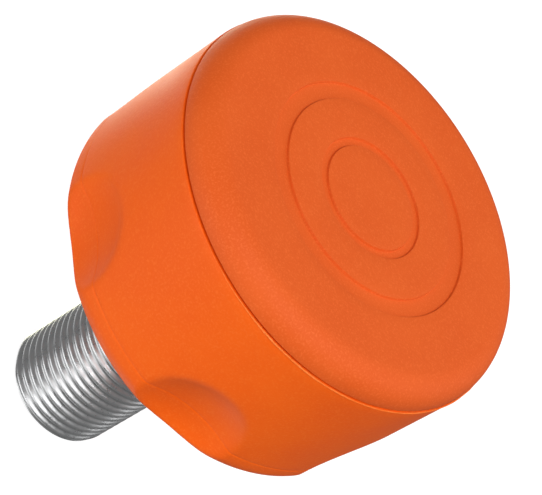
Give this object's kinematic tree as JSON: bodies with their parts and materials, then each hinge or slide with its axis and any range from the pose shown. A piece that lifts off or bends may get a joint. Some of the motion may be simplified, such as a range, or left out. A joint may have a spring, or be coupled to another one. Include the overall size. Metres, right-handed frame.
{
  "type": "knee kicker bumper head",
  "caption": "Round moulded elastomer head with a flat padded face, finger dishes round its back edge, and a threaded steel stud on its axis.",
  "frame": {"origin": "on the axis, at the drum's flat back face, where the stud leaves it", "axes": "+Z along the axis, towards the face that the knee hits; the stud points along -Z; one finger dish is centred between +X and +Y, 30 degrees from +X"},
  "size_m": [0.076, 0.076, 0.0893],
  "materials": {
    "pad_elastomer": "fine matte grain",
    "drum_elastomer": "satin, moulded",
    "stud_steel": "bright turned and threaded",
    "plate_steel": "grit-blasted",
    "weld_metal": "as welded"
  },
  "bodies": {
    "root": {"face_pad": "pad_elastomer", "drum": "drum_elastomer", "anchor_plate": "plate_steel", "threaded_stud": "stud_steel", "weld_bead": "weld_metal"}
  },
  "joints": []
}
